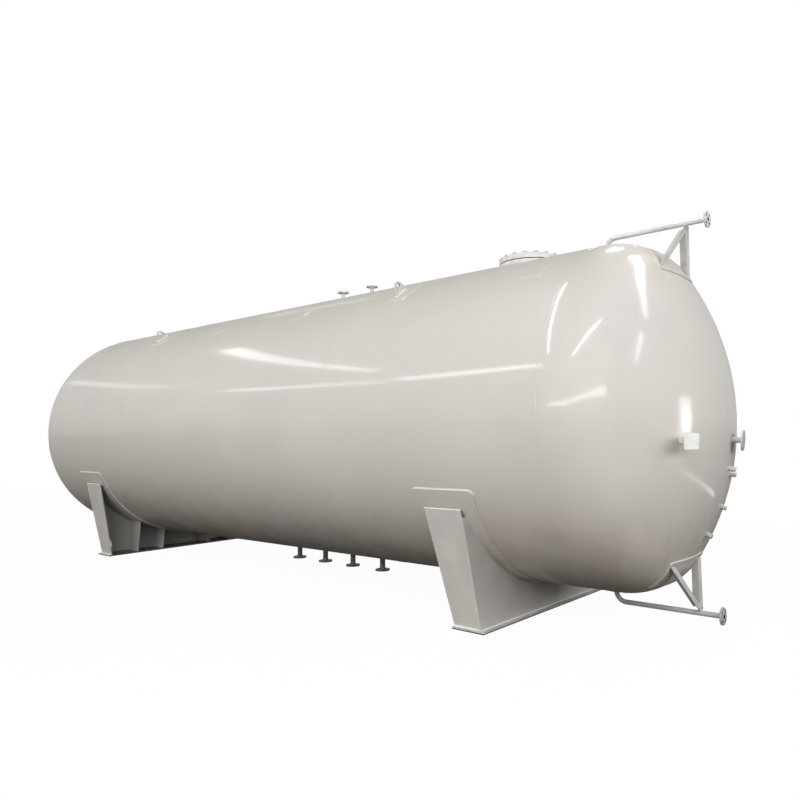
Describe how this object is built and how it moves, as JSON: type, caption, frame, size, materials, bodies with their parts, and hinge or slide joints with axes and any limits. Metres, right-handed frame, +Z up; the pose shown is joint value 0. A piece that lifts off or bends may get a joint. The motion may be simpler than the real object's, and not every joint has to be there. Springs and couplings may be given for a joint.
{
  "type": "horizontal pressure tank",
  "caption": "Horizontal steel pressure tank with dished ends on saddle feet, with a bolted manway, flanged nozzles, gauge pipes and lifting lugs.",
  "frame": {"origin": "middle of the underside of the fixed saddle's base plate, on the tank's centre plane", "axes": "+X along the tank towards the end with the gauge pipes, +Y to the rear, +Z up"},
  "size_m": [10.2155, 3.0319, 3.48],
  "materials": {
    "shell_paint": "gloss",
    "saddle_paint": "satin",
    "fitting_paint": "gloss",
    "nozzle_paint": "satin",
    "plate_paint": "satin",
    "gasket": "matte"
  },
  "bodies": {
    "root": {"bottom_nozzle_flange_1": "nozzle_paint", "bottom_nozzle_flange_2": "nozzle_paint", "bottom_nozzle_flange_3": "nozzle_paint", "bottom_nozzle_flange_4": "nozzle_paint", "bottom_nozzle_necks": "nozzle_paint", "bracket_plate": "plate_paint", "clip_pads": "shell_paint", "earthing_lug": "saddle_paint", "fixed_saddle_base_plate": "saddle_paint", "fixed_saddle_end_ribs": "saddle_paint", "fixed_saddle_inner_ribs": "saddle_paint", "fixed_saddle_wear_pad": "shell_paint", "fixed_saddle_web": "saddle_paint", "head_couplings": "fitting_paint", "head_far": "shell_paint", "head_near": "shell_paint", "instrument_stub_disc": "fitting_paint", "instrument_stub_pipe": "fitting_paint", "lifting_lug_pads": "shell_paint", "lifting_lugs": "fitting_paint", "lower_brace_pad": "shell_paint", "lower_gauge_braces": "fitting_paint", "lower_gauge_flange": "fitting_paint", "lower_gauge_pipe": "fitting_paint", "manway_cover": "fitting_paint", "manway_gasket": "gasket", "manway_ring": "fitting_paint", "plate_bracket_stem": "fitting_paint", "shell_course_far": "shell_paint", "shell_course_middle": "shell_paint", "shell_course_near": "shell_paint", "sliding_saddle_base_plate": "saddle_paint", "sliding_saddle_end_ribs": "saddle_paint", "sliding_saddle_inner_ribs": "saddle_paint", "sliding_saddle_wear_pad": "shell_paint", "sliding_saddle_web": "saddle_paint", "top_nozzle_flange_1": "fitting_paint", "top_nozzle_flange_2": "fitting_paint", "top_nozzle_necks": "fitting_paint", "upper_brace_pad": "shell_paint", "upper_gauge_braces": "fitting_paint", "upper_gauge_flange": "fitting_paint", "upper_gauge_pipe": "fitting_paint"}
  },
  "joints": []
}
